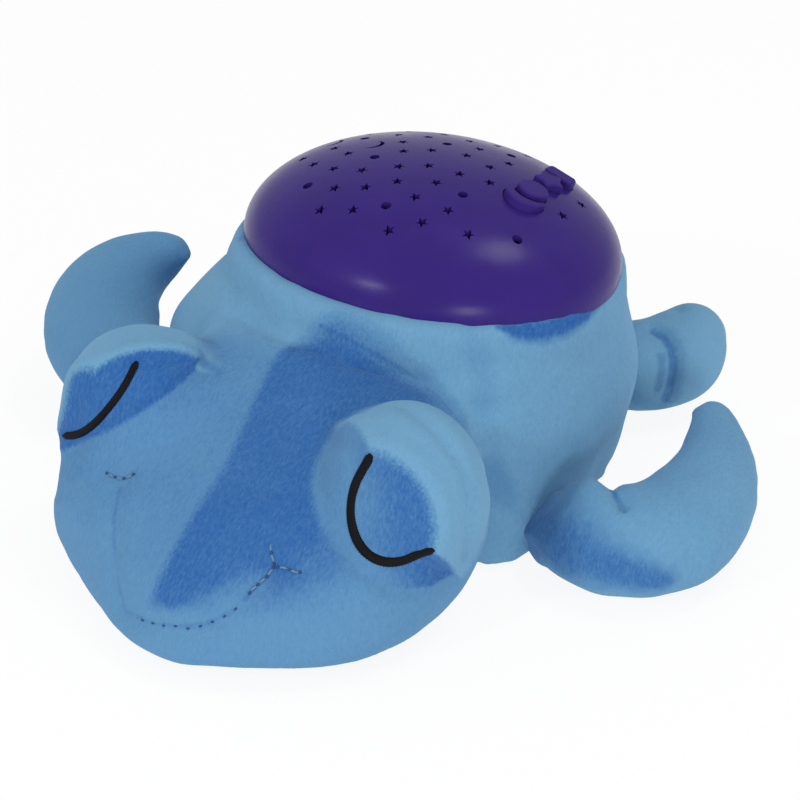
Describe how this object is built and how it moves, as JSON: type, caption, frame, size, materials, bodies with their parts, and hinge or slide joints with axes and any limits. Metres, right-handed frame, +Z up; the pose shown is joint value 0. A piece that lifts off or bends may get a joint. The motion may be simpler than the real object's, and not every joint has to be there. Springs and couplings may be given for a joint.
{
  "type": "plush turtle night light",
  "caption": "Stuffed plush turtle, lying flat, with a hard domed shell full of star cut-outs that throws light from lamps inside; push buttons on the shell, battery bay in the base.",
  "frame": {"origin": "on the floor, in the housing's flat underside, below the middle of the domed shell", "axes": "+Z up, -Y the way the head looks, +X the turtle's left side"},
  "size_m": [0.3008, 0.3015, 0.124],
  "materials": {
    "plush": "short-pile plush, soft nap",
    "shell": "moulded, satin",
    "button": "moulded, satin",
    "keypad_rubber": "moulded silicone",
    "circuit_board": "green lacquer",
    "chip_resin": "cured resin",
    "screw_steel": "zinc plated",
    "housing": "moulded, fine grain",
    "cell": "printed jacket, plain colour",
    "contact_steel": "nickel plated spring strip",
    "column": "moulded, fine grain",
    "lamp_amber": "clear tinted epoxy",
    "lamp_green": "clear tinted epoxy",
    "lamp_blue": "clear tinted epoxy",
    "wire": "insulated lead",
    "ribbon": "flat cable"
  },
  "bodies": {
    "base": {"plush_body": "plush", "head": "plush", "eye_left": "plush", "eye_right": "plush", "front_flipper_left": "plush", "front_flipper_right": "plush", "rear_foot_left": "plush", "rear_foot_right": "plush", "star_shell": "shell", "keypad": "keypad_rubber", "keypad_board": "circuit_board", "controller_chip": "chip_resin", "keypad_screws": "screw_steel", "housing": "housing", "housing_screws": "screw_steel", "batteries": "cell", "battery_contacts": "contact_steel", "light_column": "column", "column_screws": "screw_steel", "led_board": "circuit_board", "led_board_screws": "screw_steel", "led_amber": "lamp_amber", "led_green": "lamp_green", "led_blue": "lamp_blue", "battery_wires": "wire", "keypad_ribbon": "ribbon"},
    "moon_key": {"moon_button": "button"},
    "disc_key": {"disc_button": "button"},
    "star_key": {"star_button": "button"},
    "bar_key": {"bar_button": "button"},
    "door": {"battery_door": "housing", "battery_door_screws": "screw_steel"}
  },
  "joints": [
    {"name": "moon_press", "type": "slide", "parent": "base", "child": "moon_key", "axis": [-0.2869, -0.0707, -0.9554], "range_m": [0, 0.0012], "stiffness_N_per_m": 1600, "springref_m": -0.0002, "deforming": ["keypad"]},
    {"name": "disc_press", "type": "slide", "parent": "base", "child": "disc_key", "axis": [-0.2869, -0.0707, -0.9554], "range_m": [0, 0.0012], "stiffness_N_per_m": 1600, "springref_m": -0.0002, "deforming": ["keypad"]},
    {"name": "star_press", "type": "slide", "parent": "base", "child": "star_key", "axis": [-0.2869, -0.0707, -0.9554], "range_m": [0, 0.0012], "stiffness_N_per_m": 1600, "springref_m": -0.0002, "deforming": ["keypad"]},
    {"name": "bar_press", "type": "slide", "parent": "base", "child": "bar_key", "axis": [-0.2869, -0.0707, -0.9554], "range_m": [0, 0.0012], "stiffness_N_per_m": 1600, "springref_m": -0.0002, "deforming": ["keypad"]},
    {"name": "door_lift_off", "type": "slide", "parent": "base", "child": "door", "axis": [0, 0, -1], "range_m": [0, 0.03]}
  ]
}
